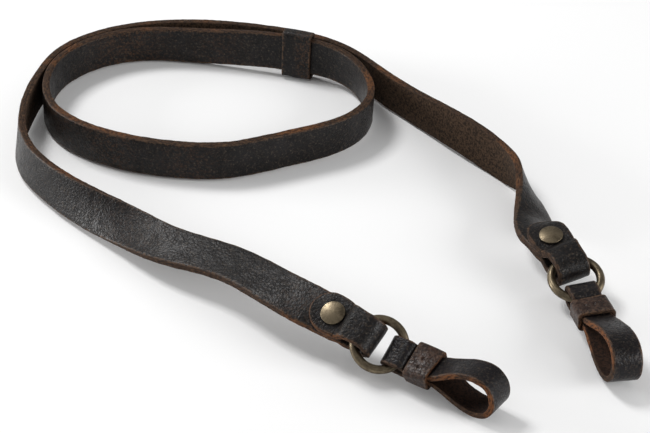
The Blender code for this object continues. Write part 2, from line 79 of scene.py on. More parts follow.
FINE_STEP = 0.0007
DENSE = 40
MERGE_REACH = 0.000002

# The oval's centre line, clockwise from its left end, as shares of its half length and half depth, with the
# lean of its top edge towards the middle of the turn
TURN_ROWS = (
    # along, across, lean
    (-1.000, 0.007, 3.0),
    (-0.933, 0.536, 4.0),
    (-0.565, 0.955, 4.0),
    (-0.227, 0.979, 1.0),
    (0.150, 0.872, -5.0),
    (0.588, 0.694, -5.0),
    (0.835, 0.508, 1.0),
    (0.992, -0.228, -4.0),
    (0.883, -0.504, -4.0),
    (0.492, -0.819, -1.0),
    (0.147, -0.993, 0.0),
    (-0.187, -0.976, 2.0),
    (-0.626, -0.751, 1.0),
    (-0.920, -0.360, 1.0),
)

# Where the turn's dye is worn away: the place as a share of the way round, the reach in metres, how much of
# the dye is gone, and how far it has gone on the side that faces the middle
TURN_WEAR = (
    # place, reach, outside, inside
    (0.160, 0.030, 0.2, 0.8),
    (0.270, 0.018, 0.2, 0.5),
    (0.500, 0.020, 0.2, 0.2),
    (0.770, 0.020, 0.5, 0.2),
    (0.860, 0.018, 0.8, 0.2),
    (0.930, 0.020, 0.6, 0.2),
)


def unit(vectors):
    """The same vectors at length 1."""
    return vectors / np.linalg.norm(vectors, axis=-1, keepdims=True)


def ease(share):
    """Goes from 0 to 1 with a level start and end: 3 x squared less 2 x cubed."""
    share = np.clip(share, 0.0, 1.0)
    return share * share * (3.0 - 2.0 * share)


def spline(knots, values, at):
    """A natural cubic spline: cubics through the values whose slope and bend run on across each knot."""
    steps = np.diff(knots)
    count = len(knots)
    system = np.eye(count)
    right = np.zeros_like(values)
    for i in range(1, count - 1):
        system[i, i - 1:i + 2] = steps[i - 1], 2.0 * (steps[i - 1] + steps[i]), steps[i]
        rise_after = (values[i + 1] - values[i]) / steps[i]
        rise_before = (values[i] - values[i - 1]) / steps[i - 1]
        right[i] = 6.0 * (rise_after - rise_before)
    bend = np.linalg.solve(system, right)
    i = np.clip(np.searchsorted(knots, at) - 1, 0, count - 2)
    step = steps[i][:, None]
    before = (knots[i + 1] - at)[:, None] / step
    after = 1.0 - before
    straight = before * values[i] + after * values[i + 1]
    bent = (before ** 3 - before) * bend[i] + (after ** 3 - after) * bend[i + 1]
    return straight + bent * step ** 2 / 6.0


def travelled(points):
    """The distance travelled along a row of points, up to each of them."""
    return np.concatenate([[0.0], np.cumsum(np.linalg.norm(np.diff(points, axis=0), axis=1))])


def columns_at(at, way, table, period=None):
    """The rows of a table read at places along its way, straight between its rows."""
    return np.stack([np.interp(at, way, table[:, i], period=period) for i in range(table.shape[1])], axis=-1)


def rest_height(lean):
    """The height of the strap's middle when its lowest corner touches the table, at a lean from upright."""
    return 0.5 * (STRAP_WIDTH * np.abs(np.cos(lean)) + STRAP_THICKNESS * np.abs(np.sin(lean)))


def lay_strap(rows, closed):
    """A strap laid through rows of x, y, lean and lift, as even stations.

    A spline runs through the rows. At each station the way along is read over a stretch to either side, the
    way across is upright turned by the lean, and the flesh side faces the middle of the turn.
    """
    count = len(rows)
    if closed:
        rows = np.vstack([rows, rows, rows, rows[:1]])
    knots = travelled(rows[:, :2])
    first, last = (knots[count], knots[2 * count]) if closed else (knots[0], knots[-1])
    dense = spline(knots, rows, np.linspace(first, last, DENSE * count))
    way = travelled(dense[:, :2])
    length = way[-1]
    sight = length / round(length / SIGHT_STEP)
    even = np.linspace(0.0, length, round(length / FINE_STEP) + 1)
    laid = columns_at(even, way, dense)
    lean = laid[:, 2]
    centre = np.column_stack([laid[:, 0], laid[:, 1], rest_height(lean) + laid[:, 3]])
    if closed:
        ahead = columns_at(even + sight, even, centre, length)
        behind = columns_at(even - sight, even, centre, length)
    else:
        ahead = columns_at(np.minimum(even + sight, length), even, centre)
        behind = columns_at(np.maximum(even - sight, 0.0), even, centre)
    along = unit(ahead - behind)
    up = np.array([0.0, 0.0, 1.0])
    upright = unit(up - along * (along @ up)[:, None])
    inward = np.cross(along, upright)
    across = np.cos(lean)[:, None] * upright + np.sin(lean)[:, None] * inward
    return {"way": even, "centre": centre, "along": along, "across": across,
            "flesh": np.cross(along, across), "lean": lean, "length": length}


def lay_turn():
    """The closed oval turn, lifted a little where the keeper passes beneath it."""
    table = np.array(TURN_ROWS)
    rows = np.column_stack([
        table[:, 0] * TURN_LENGTH / 2.0, table[:, 1] * TURN_DEPTH / 2.0,
        np.radians(table[:, 2]), np.zeros(len(table))])
    laid = lay_strap(rows, closed=True)
    length = laid["length"]
    off = np.abs((laid["way"] / length - KEEPER_PLACE + 0.5) % 1.0 - 0.5) * length
    lift = ease(1.0 - (off - KEEPER_LENGTH / 2.0) / KEEPER_LIFT_REACH)
    laid["centre"][:, 2] += (KEEPER_WALL + CLEARANCE + KEEPER_SLACK) * lift
    return laid


def frame_shift(laid):
    """How far the strap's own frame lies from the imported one: the turn's solid less the turn as laid."""
    corners = np.vstack([laid["centre"] + side * laid["across"] * STRAP_WIDTH / 2.0
                         + face * laid["flesh"] * STRAP_THICKNESS / 2.0
                         for side in (-1.0, 1.0) for face in (-1.0, 1.0)])
    low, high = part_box("strap_turn")
    return (np.array(low) + np.array(high) - corners.min(axis=0) - corners.max(axis=0)) / 2.0


def cut_profile(thickness, grain_round, flesh_round, face_points):
    """The outline of a cut strap seen from its end, as one loop of columns.

    Each column has its share of the half width, its inset from the cut edge, its depth towards the flesh
    side, how far it is on the cut edge, and how far it is on the flesh side. The grain corner is a quarter
    circle of one radius, the flesh corner of another, and the cut edge between them swells a little.
    """
    half = thickness / 2.0
    corner = np.radians(np.linspace(0.0, 90.0, 6))
    side = []
    for turn in corner:
        side.append((grain_round * (1.0 - math.sin(turn)), -half + grain_round * (1.0 - math.cos(turn)),
                     math.sin(turn) ** 2, 0.0))
    wall = np.linspace(-half + grain_round, half - flesh_round, 6)[1:-1]
    swell = 0.03 * thickness * np.sin(np.linspace(0.0, math.pi, 6))[1:-1]
    for depth, out in zip(wall, swell):
        side.append((-out, depth, 1.0, 0.0))
    for turn in corner[::-1][1:]:
        side.append((flesh_round * (1.0 - math.sin(turn)), half - flesh_round * (1.0 - math.cos(turn)),
                     math.sin(turn) ** 0.5, 1.0 - math.sin(turn)))
    shares = np.linspace(-1.0, 1.0, face_points)[1:-1]
    face = [(share, grain_round, -half, 0.0, 0.0) for share in shares]
    right = [(1.0, *row) for row in side]
    back = [(share, flesh_round, half, 0.0, 1.0) for share in shares[::-1]]
    left = [(-1.0, *row) for row in side[::-1]]
    names = ("share", "inset", "depth", "cut", "flesh")
    return dict(zip(names, np.array(face + right + back + left).T))


def grid_of(along, around):
    """Every pair of a distance along and a distance around, as a grid."""
    return np.stack(np.meshgrid(along, around, indexing="ij"), axis=-1)


def skin(name, points, closed, lay, marks):
    """A closed surface from a grid of points whose rows are loops, joined in order.

    The lay is the grid of distances along and around that the surface's pattern follows, with one more row
    and column than the points. Each mark is kept on the points: a grid of numbers, a row of them or one
    number. Points that meet at a tip are merged.
    """
    rows, columns = points.shape[:2]
    i, j = np.moveaxis(grid_of(np.arange(rows if closed else rows - 1), np.arange(columns)), -1, 0)
    after, beside = (i + 1) % rows, (j + 1) % columns
    faces = np.stack([i * columns + j, after * columns + j, after * columns + beside, i * columns + beside],
                     axis=-1).reshape(-1, 4)
    corners = np.stack([lay[i, j], lay[i + 1, j], lay[i + 1, j + 1], lay[i, j + 1]], axis=2)
    mesh = bpy.data.meshes.new(name)
    mesh.from_pydata(points.reshape(-1, 3).tolist(), [], faces.tolist())
    pattern = mesh.uv_layers.new(name="lay")
    pattern.data.foreach_set("uv", corners.reshape(-1).astype(np.float32))
    for key, grid in marks.items():
        mark = mesh.attributes.new(key, "FLOAT", "POINT")
        mark.data.foreach_set("value", np.broadcast_to(grid, (rows, columns)).reshape(-1).astype(np.float32))
    shape = bmesh.new()
    shape.from_mesh(mesh)
    bmesh.ops.remove_doubles(shape, verts=shape.verts, dist=MERGE_REACH)
    bmesh.ops.recalc_face_normals(shape, faces=shape.faces)
    shape.to_mesh(mesh)
    shape.free()
    mesh.shade_smooth()
    return mesh


def rumple(points, size, seed, waves=14):
    """Soft hills and hollows about as wide as a size: sine waves that run in random directions, added up."""
    random = np.random.default_rng(seed)
    ways = unit(random.normal(size=(waves, 3))) * (math.pi / size)
    phases = random.uniform(0.0, 2.0 * math.pi, waves)
    return np.sin(points @ ways.T + phases).sum(axis=1) * math.sqrt(2.0 / waves)


def read_from(rows, key, width):
    """The numbers that a mesh keeps for each of its points, in rows of a width."""
    values = np.empty(len(rows) * width, np.float32)
    rows.foreach_get(key, values)
    return values.reshape(-1, width)


def weather(mesh, seed, faces_by, cut_by):
    """Moves each point along its normal by soft hills and hollows, and roughens the cut edges."""
    points = read_from(mesh.vertices, "co", 3).astype(float)
    normals = read_from(mesh.vertex_normals, "vector", 3)
    cut = read_from(mesh.attributes["cut"].data, "value", 1)[:, 0]
    faces = rumple(points, 0.0060, seed) * 0.65 + rumple(points, 0.0022, seed + 1) * 0.35
    edges = rumple(points, 0.0034, seed + 2) * 0.6 + rumple(points, 0.0011, seed + 3) * 0.4
    move = faces_by * faces * (1.0 - cut) + cut_by * edges * cut
    points += normals * move[:, None]
    mesh.vertices.foreach_set("co", points.reshape(-1).astype(np.float32))
    mesh.update()


def path_of(centre, across, closed):
    """A path that a profile is carried along: the flesh side is square to the way along and across."""
    way = travelled(np.vstack([centre, centre[:1]]) if closed else centre)
    length = way[-1]
    if closed:
        way = way[:-1]
        wrapped = np.concatenate([way[-2:] - length, way, way[:2] + length])
        along = np.gradient(np.vstack([centre[-2:], centre, centre[:2]]), wrapped, axis=0)[2:-2]
    else:
        along = np.gradient(centre, way, axis=0)
    return {"way": way, "centre": centre, "across": across, "flesh": unit(np.cross(along, across)),
            "length": length, "closed": closed}


def around_profile(across, depth):
    """The distances around a profile from its first column, with the way back to it at the end."""
    around = travelled(np.column_stack([across, depth]))
    return np.append(around, around[-1] + around[1])


def carry(path, stations, half_width, profile, sine=0.0):
    """A profile carried along a path: centre, plus across by its place, plus its depth on the flesh side.

    A column's inset runs square to the outline, so where the half width falls along the path the point
    slides back along it by the inset times the sine of the outline's slope.
    """
    at = stations[:, None] - np.outer(sine, profile["inset"])
    half_width = np.reshape(half_width, (-1, 1))
    out = (half_width - np.outer(np.sqrt(1.0 - sine ** 2), profile["inset"])) * profile["share"]
    period = path["length"] if path["closed"] else None
    read = [columns_at(at.reshape(-1), path["way"], path[key], period).reshape(*at.shape, 3)
            for key in ("centre", "across", "flesh")]
    around = around_profile(profile["share"] * STRAP_WIDTH / 2.0, profile["depth"])
    return {"points": read[0] + unit(read[1]) * out[..., None] + unit(read[2]) * profile["depth"][:, None],
            "edge": half_width - np.abs(out), "lay": grid_of(np.append(stations, path["length"]), around),
            "cut": profile["cut"], "closed": path["closed"]}


def worn_by(way, table, length, inside):
    """How much dye is gone: a soft hill over each worn place, the tallest counting, as a grid.

    inside is 0 for a column on the outer side and 1 for one on the side that faces the middle.
    """
    worn = 0.0
    for place, reach, outer, inner in table:
        off = np.abs((way / length - place + 0.5) % 1.0 - 0.5) * length
        worn = np.maximum(worn, np.outer(ease(1.0 - off / reach), outer + (inner - outer) * inside))
    return worn


class Wire:
    """A socket of a material. Sums of wires and numbers are worked out by Math nodes."""

    def __init__(self, finish, socket):
        self.finish, self.socket = finish, socket

    def maths(self, operation, *others, clamp=False):
        """A Math node of this wire and the others, in that order."""
        values = dict(enumerate((self, *others)))
        return self.finish.node("ShaderNodeMath", {"operation": operation, "use_clamp": clamp}, values)

    def __add__(self, other):
        return self.maths("ADD", other)

    def __sub__(self, other):
        return self.maths("SUBTRACT", other)

    def __rsub__(self, other):
        return (self * -1.0) + other

    def __mul__(self, other):
        return self.maths("MULTIPLY", other)

    __radd__ = __add__
    __rmul__ = __mul__

    def clear(self):
        """The same value kept between 0 and 1."""
        return self.maths("ADD", 0.0, clamp=True)

    def between(self, low, high):
        """0 below low and 1 above high, with a soft step from one to the other."""
        return self.finish.node("ShaderNodeMapRange", {"interpolation_type": "SMOOTHSTEP"},
                                {"Value": self, "From Min": low, "From Max": high})


class Finish:
    """A material in the making: its nodes are added one by one, from its patterns to its shader."""

    def __init__(self, name):
        self.material = bpy.data.materials.new(name)
        self.material.use_nodes = True
        self.tree = self.material.node_tree
        self.shader = self.tree.nodes["Principled BSDF"]
        self.place = self.node("ShaderNodeTexCoord", {}, {}, "Object")

    def node(self, kind, settings, values, output=0):
        """Adds a node: its settings first, then the values or links of its sockets. Gives one output."""
        node = self.tree.nodes.new(kind)
        for key, value in settings.items():
            setattr(node, key, value)
        for key, value in values.items():
            self.feed(node.inputs[key], value)
        return Wire(self, node.outputs[output])

    def feed(self, socket, value):
        """Links a wire to a socket, or sets the socket's own value."""
        if isinstance(value, Wire):
            self.tree.links.new(value.socket, socket)
        else:
            socket.default_value = value

    def mark(self, key):
        """A number kept on the piece's points."""
        return self.node("ShaderNodeAttribute", {"attribute_name": key}, {}, "Fac")

    def lay(self):
        """The distances along and around the piece."""
        return self.node("ShaderNodeUVMap", {"uv_map": "lay"}, {}, "UV")

    def scaled(self, vector, factors):
        """A vector times three factors."""
        values = {0: vector, 1: factors}
        return self.node("ShaderNodeVectorMath", {"operation": "MULTIPLY"}, values, "Vector")

    def cloud(self, vector, size, detail=3.0, roughness=0.55, distortion=0.0):
        """Soft noise whose blots are about as wide as a size."""
        return self.node("ShaderNodeTexNoise", {}, {
            "Vector": vector, "Scale": 0.5 / size, "Detail": detail, "Roughness": roughness,
            "Distortion": distortion}, "Fac")

    def cells(self, vector, size, feature="F1"):
        """Cells about as wide as a size: the distance from each cell's point, or from its border."""
        values = {"Vector": vector, "Scale": 1.0 / size}
        return self.node("ShaderNodeTexVoronoi", {"feature": feature}, values, "Distance")

    def stirred(self, vector, size, by):
        """A place pushed about by soft noise."""
        noise = self.node("ShaderNodeTexNoise", {}, {"Vector": vector, "Scale": 0.5 / size}, "Color")
        pushed = self.node("ShaderNodeVectorMath", {"operation": "SCALE"}, {0: noise, "Scale": by}, "Vector")
        return self.node("ShaderNodeVectorMath", {"operation": "ADD"}, {0: vector, 1: pushed}, "Vector")

    def mix(self, share, first, second):
        """A colour between two: all the first at 0 and all the second at 1."""
        return self.node("ShaderNodeMix", {"data_type": "RGBA"}, {
            "Factor": share, 6: first, 7: second}, 2)

    def relief(self, height, depth):
        """A surface's normal over a height of 0 to 1, as deep as given in metres."""
        values = {"Height": height, "Distance": depth, "Strength": 1.0}
        return self.node("ShaderNodeBump", {}, values, "Normal")

    def shade(self, values):
        """Feeds the shader's sockets and gives the material."""
        for key, value in values.items():
            self.feed(self.shader.inputs[key], value)
        return self.material


def colour(red, green, blue):
    """A colour of three parts, seen as 0 to 255 on a screen, as the shader's light values."""
    parts = np.array([red, green, blue]) / 255.0
    return (*(np.where(parts < 0.04045, parts / 12.92, ((parts + 0.055) / 1.055) ** 2.4)), 1.0)


def leather(name, dye, dye_light, hide, flesh_tone, rust_tone, cell, worn_all, polish, rusty):
    """Dyed leather. The grain side has pebbles and cracks, which are worn to the hide in places.

    The marks say where a point lies: cut is 1 on a cut edge, flesh is 1 on the back of the leather, worn is
    how much dye is gone, and edge is the distance to the nearest cut edge. Where worn falls below 0 the full
    dark dye stays, which paints shade into a stitch hole. worn_all is how much is gone everywhere, cell is a
    pebble's width, and polish is how rough the smoothest grain is. A cut edge takes rust_tone where a soft
    cloud is over rusty. The crack valleys are darkened towards near black as painted shade.
    """
    finish = Finish(name)
    cut, flesh, worn, edge = (finish.mark(key) for key in ("cut", "flesh", "worn", "edge"))
    stirred = finish.stirred(finish.place, 0.0016, 0.0009)
    pebble = finish.cells(stirred, cell)
    wrinkle = finish.cloud(finish.stirred(finish.place, 0.0040, 0.0030), 0.0009, 3.0, 0.6, 1.4)
    crack = finish.cells(finish.stirred(finish.place, 0.0030, 0.0022), cell * 1.5, "DISTANCE_TO_EDGE")
    crease = finish.cloud(finish.place, 0.0028, 3.0, 0.6, 0.8)
    fine = finish.cloud(finish.place, 0.00022, 2.0)
    blotch = finish.cloud(finish.place, 0.0075, 4.0, 0.6)
    speck = finish.cloud(stirred, 0.00055, 4.0, 0.7)
    along = finish.scaled(finish.lay(), (600.0, 1500.0, 1.0))
    fibre = finish.node("ShaderNodeTexNoise", {}, {"Vector": along, "Scale": 1.0, "Detail": 4.0,
                                                  "Roughness": 0.65}, "Fac")
    nap = finish.cloud(finish.place, 0.00048, 4.0, 0.8)
    valley = (1.0 - crack.between(0.0, 0.15)) * crease.between(0.38, 0.62)
    rub = (1.0 - edge.between(0.0001, 0.0022)) * blotch.between(0.35, 0.68)
    bare = (worn + worn_all + rub * 0.55) * speck.between(0.44, 0.66)
    line = (1.0 - edge.between(0.00045, 0.00085)) * speck.between(0.40, 0.60)
    grain_tone = finish.mix(blotch.between(0.30, 0.72), dye, dye_light)
    grain_tone = finish.mix(nap.between(0.53, 0.64) * 0.60, grain_tone, colour(78, 69, 59))
    grain_tone = finish.mix((bare * 0.85).clear(), grain_tone, hide)
    # painted shade: the crack valleys, pressed in by the relief below, are also darkened towards near black
    grain_tone = finish.mix(valley * 0.75, grain_tone, colour(8, 6, 5))
    grain_tone = finish.mix((line * 0.60).clear(), grain_tone, colour(96, 74, 56))
    flesh_light = tuple(min(1.0, part * 2.6) for part in flesh_tone[:3]) + (1.0,)
    flesh_dark = tuple(part * 0.22 for part in flesh_tone[:3]) + (1.0,)
    back_tone = finish.mix(nap.between(0.40, 0.58), flesh_dark, flesh_tone)
    back_tone = finish.mix(speck.between(0.60, 0.74) * 0.55, back_tone, flesh_light)
    rust = finish.cloud(finish.place, 0.0110, 2.0)
    cut_tone = finish.mix(rust.between(rusty, rusty + 0.14), colour(62, 44, 31), rust_tone)
    cut_tone = finish.mix(fibre.between(0.56, 0.40) * 0.85, cut_tone, colour(22, 15, 11))
    cut_tone = finish.mix(fibre.between(0.58, 0.70) * 0.55, cut_tone, colour(128, 98, 68))
    tone = finish.mix(flesh, grain_tone, back_tone)
    tone = finish.mix(cut, tone, cut_tone)
    gloss = polish + blotch * 0.05 + valley * 0.20 + speck * 0.12 + bare * 0.20
    rough = gloss + (0.92 - gloss) * flesh
    rough = rough + (0.80 - rough) * cut
    grain_height = (0.5 - pebble * 0.45) + wrinkle * 0.75 + crease * 0.35 + fine * 0.06 - valley * 0.35
    back_height = nap * 0.8 + fine * 0.3
    cut_height = fibre * 0.9 + nap * 0.4
    height = grain_height + (back_height - grain_height) * flesh
    height = height + (cut_height - height) * cut
    return finish.shade({
        "Base Color": tone, "Roughness": rough.clear(), "Normal": finish.relief(height, 0.00017),
        "Specular IOR Level": 0.19})


def make_piece(name, mesh, material, solid):
    """A finished piece at the origin: it rides on the strap and stands for its solid."""
    piece = bpy.data.objects.new(name, mesh)
    bpy.context.scene.collection.objects.link(piece)
    mesh.materials.append(material)
    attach(piece, "root")
    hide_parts(solid)


def make_leather(solid, surface, material, flesh, worn, seed, faces_by, cut_by):
    """A piece of leather: a surface with the marks that its material reads, weathered by a seed."""
    name = solid + "_leather"
    marks = {"cut": surface["cut"], "flesh": flesh, "edge": surface["edge"], "worn": worn}
    mesh = skin(name, surface["points"], surface["closed"], surface["lay"], marks)
    weather(mesh, seed, faces_by, cut_by)
    make_piece(name, mesh, material, solid)


STRAP_PROFILE = cut_profile(STRAP_THICKNESS, grain_round=0.00060, flesh_round=0.00035, face_points=15)
strap_leather = leather(
    "strap_leather_finish", dye=colour(12, 11, 12), dye_light=colour(23, 22, 23), hide=colour(72, 50, 35),
    flesh_tone=colour(66, 50, 37), rust_tone=colour(94, 60, 35), cell=0.0009, worn_all=0.10, polish=0.26,
    rusty=0.54)

turn = lay_turn()
SHIFT = frame_shift(turn)
turn_path = path_of(turn["centre"][:-1] + SHIFT, turn["across"][:-1], closed=True)
turn_stations = np.linspace(0.0, turn_path["length"], round(turn_path["length"] / FINE_STEP) + 1)[:-1]
turn_surface = carry(turn_path, turn_stations, STRAP_WIDTH / 2.0, STRAP_PROFILE)
turn_worn = worn_by(turn_stations, TURN_WEAR, turn_path["length"], STRAP_PROFILE["depth"] > 0.0)
make_leather("strap_turn", turn_surface, strap_leather, flesh=0.0, worn=turn_worn,
             seed=11, faces_by=0.00006, cut_by=0.00006)


# The outer run
# The same leather, whose grain side faces outwards and whose rough flesh side faces the turn. It goes from
# ring A round the left of the turn, along the turn's back and on to ring B, twisting flat near the rings.
# Each end is cut to a rounded tab, dyed on both sides, folded over its ring and riveted down.
ARM_A_REACH = 0.1850
ARM_B_REACH = 0.1500
LEAF_WIDTH = 0.0140
NECK_WIDTH = 0.0113
NECK_LENGTH = 0.0015
TAB_SET_BACK = 0.0133
TAPER_LENGTH = 0.0130
RIVET_SET_BACK = 0.0120
CAP_RADIUS = 0.0041
RING_RADIUS = 0.0083
WIRE_RADIUS = 0.00145
RING_SLACK = 0.34
RING_BACK = 0.0006
LOOP_HOLD = 0.0055
FOLD_STEPS = 36
LEAF_STEP = 0.0004
TIP_STEPS = 16
PAST_TIP = 1.02
DYE_FADE = 0.0120

# The run where it lies beside the turn: the place as a share of the way round the turn from its left end,
# the free gap as a share of the strap's width, whether the keeper is in between, and the lean
BESIDE_ROWS = (
    # place, gap, keeper, lean
    (-0.020, 0.300, 0.0, 5.0),
    (0.013, 0.080, 0.0, 4.0),
    (0.040, 0.000, 0.0, 4.0),
    (0.070, 0.000, 0.0, 4.0),
    (0.100, 0.000, 0.0, 4.0),
    (0.130, 0.000, 0.0, 4.0),
    (0.160, 0.030, 0.0, 3.0),
    (0.200, 0.140, 0.0, 1.0),
    (0.250, 0.300, 0.0, 0.0),
    (0.300, 0.350, 0.0, 0.0),
    (0.345, 0.220, 1.0, -2.0),
    (0.395, 0.150, 1.0, -1.0),
    (0.430, 0.140, 0.0, 0.0),
)

# The arms that leave the turn, from where they leave it to the fold at the ring, as shares of the arm's
# reach, with the lean, and the lift off the table as a share of the strap's width
ARM_A_ROWS = (
    # along, across, lean, lift
    (-0.002, -0.080, 9.0, 0.00),
    (0.019, -0.171, 11.5, 0.00),
    (0.079, -0.262, 14.0, 0.00),
    (0.176, -0.351, 34.0, 0.00),
    (0.252, -0.411, 57.0, 0.13),
    (0.324, -0.474, 73.0, 0.36),
    (0.443, -0.547, 81.0, 0.58),
    (0.550, -0.648, 75.0, 0.66),
    (0.631, -0.706, 64.0, 0.48),
    (0.691, -0.749, 61.0, 0.36),
)
ARM_B_ROWS = (
    # along, across, lean, lift
    (0.095, -0.121, 1.0, 0.00),
    (0.197, -0.244, -2.0, 0.00),
    (0.300, -0.363, -10.0, 0.00),
    (0.392, -0.492, 5.0, 0.00),
    (0.407, -0.532, 15.0, 0.08),
    (0.427, -0.690, 66.0, 0.10),
    (0.430, -0.778, 90.0, 0.55),
    (0.450, -0.822, 98.0, 0.52),
    (0.484, -0.898, 97.0, 0.39),
)

# Where the run's dye is worn, as the turn's
RUN_WEAR = (
    # place, reach, outside, inside
    (0.100, 0.014, 0.3, 0.0),
    (0.230, 0.030, 0.2, 0.0),
    (0.950, 0.012, 0.2, 0.0),
)


def place_on(laid, place, key):
    """A value of the turn at a share of the way round it."""
    return columns_at((place % 1.0) * laid["length"], laid["way"], laid[key].reshape(len(laid["way"]), -1))


def beside(laid, place, gap, keeper, lean):
    """A point of the run beside the turn: outside it by the leather, the clearance and the free gap."""
    outward = unit(-place_on(laid, place, "flesh")[:2])
    spread = STRAP_WIDTH / 2.0 * abs(math.sin(lean - place_on(laid, place, "lean")[0]))
    off = STRAP_THICKNESS + CLEARANCE + spread + gap * STRAP_WIDTH + keeper * (KEEPER_WALL + 2.0 * CLEARANCE)
    return place_on(laid, place, "centre")[:2] + outward * off


def lay_run(laid):
    """The outer run, from the fold at ring A, beside the turn, to the fold at ring B."""
    middle = []
    for place, gap, keeper, lean in BESIDE_ROWS:
        lean = math.radians(lean)
        middle.append((*beside(laid, place, gap, keeper, lean), lean, 0.0))
    arms = []
    for base, reach, table in ((middle[0], ARM_A_REACH, ARM_A_ROWS), (middle[-1], ARM_B_REACH, ARM_B_ROWS)):
        arms.append([
            (base[0] + along * reach, base[1] + across * reach, math.radians(lean), lift * STRAP_WIDTH)
            for along, across, lean, lift in table])
    run = lay_strap(np.array(arms[0][::-1] + middle + arms[1]), closed=False)
    set_back = np.minimum(run["way"], run["length"] - run["way"])
    run["centre"] = run["centre"] + run["flesh"] * (fold_dip() * bulge(set_back))[:, None]
    return run


def wire_sagitta(half_width):
    """How far the ring's wire bends away over a half width across it."""
    return RING_RADIUS - math.sqrt(RING_RADIUS ** 2 - half_width ** 2)


def wire_pocket():
    """How far back from the fold's middle the ring's wire reaches."""
    return wire_sagitta(NECK_WIDTH / 2.0) + WIRE_RADIUS + RING_BACK + CLEARANCE


def fold_radius():
    """The radius of the fold at the middle of the leather, which leaves room for the tilted wire."""
    slack = wire_sagitta(NECK_WIDTH / 2.0) * RING_SLACK
    return STRAP_THICKNESS / 2.0 + CLEARANCE + WIRE_RADIUS + slack


def fold_dip():
    """How far each leaf bends away from the other to go round the wire."""
    return fold_radius() - (STRAP_THICKNESS + CLEARANCE) / 2.0


def bulge(set_back):
    """How far the leaves are bent apart at a distance back from the fold: 1 at the wire, 0 at the rivet."""
    closes = RIVET_SET_BACK - CAP_RADIUS
    return ease((closes - set_back) / (closes - wire_pocket()))


def leaf_width(set_back):
    """The half width of both leaves, which widen from the neck at the ring up to the rivet."""
    widening = ease((set_back - NECK_LENGTH) / (RIVET_SET_BACK - NECK_LENGTH))
    return (NECK_WIDTH + (LEAF_WIDTH - NECK_WIDTH) * widening) / 2.0


class End:
    """One end of the run: its frame at the fold, and its ring."""

    def __init__(self, run, which):
        first = which == "a"
        at = 0 if first else -1
        self.which = which
        self.out = -run["along"][at] if first else run["along"][at]
        self.side = run["across"][at]
        self.grain = -run["flesh"][at]
        self.foot = run["centre"][at]
        order = slice(None) if first else slice(None, None, -1)
        self.below = {key: run[key][order] for key in ("centre", "across", "flesh")}
        self.below["way"] = run["way"] if first else run["length"] - run["way"][::-1]
        middle = self.foot + self.grain * fold_radius()
        self.tilt = self.tilt_to_table(middle)
        self.ring_out = self.out * math.cos(self.tilt) + self.grain * math.sin(self.tilt)
        self.ring_up = self.grain * math.cos(self.tilt) - self.out * math.sin(self.tilt)
        sagitta = wire_sagitta(NECK_WIDTH / 2.0)
        wire = middle - self.ring_out * (sagitta + RING_BACK)
        wire = wire + self.grain * sagitta * math.sin(self.tilt) / 2.0
        self.ring_centre = wire + self.ring_out * RING_RADIUS

    def tilt_to_table(self, middle):
        """The ring's tilt out of the end's plane that brings its far side down to the loop's hold."""
        drop = middle[2] - LOOP_HOLD
        reach = math.hypot(self.out[2], self.grain[2])
        return math.asin(-drop / (2.0 * RING_RADIUS) / reach) - math.atan2(self.out[2], self.grain[2])

    def at(self, set_back, key):
        """A value of the leaf below, at a distance back from the fold."""
        return columns_at(set_back, self.below["way"], self.below[key])

    def leaf(self):
        """The leaf above: round the fold, down onto the leaf below, and on to the rounded tip."""
        radius, half = fold_radius(), LEAF_WIDTH / 2.0
        turns = np.radians(np.linspace(0.0, 180.0, FOLD_STEPS + 1))[1:]
        fold = (self.foot + self.grain * radius + np.outer(np.sin(turns), self.out) * radius
                - np.outer(np.cos(turns), self.grain) * radius)
        end = TAB_SET_BACK + half
        set_back = np.linspace(0.0, end, round(end / LEAF_STEP) + 1)[1:]
        apart = STRAP_THICKNESS + CLEARANCE + 2.0 * fold_dip() * bulge(set_back)
        leaf = self.at(set_back, "centre") - self.at(set_back, "flesh") * apart[:, None]
        widths = np.concatenate([np.full(len(fold), NECK_WIDTH / 2.0), leaf_width(set_back)])
        across = np.vstack([np.tile(self.side, (len(fold), 1)), self.at(set_back, "across")])
        return np.vstack([fold, leaf]), unit(across), widths

    def rivet_frame(self):
        """The rivet's place on the leaf below, and the way out through the leaf above."""
        back = np.array([RIVET_SET_BACK])
        return self.at(back, "centre")[0], unit(-self.at(back, "flesh")[0])


def run_width(set_back):
    """The half width of the run, which narrows to its leaves behind the rivet, then to the neck."""
    widening = ease((set_back - RIVET_SET_BACK) / TAPER_LENGTH)
    return leaf_width(set_back) + (STRAP_WIDTH - LEAF_WIDTH) / 2.0 * widening


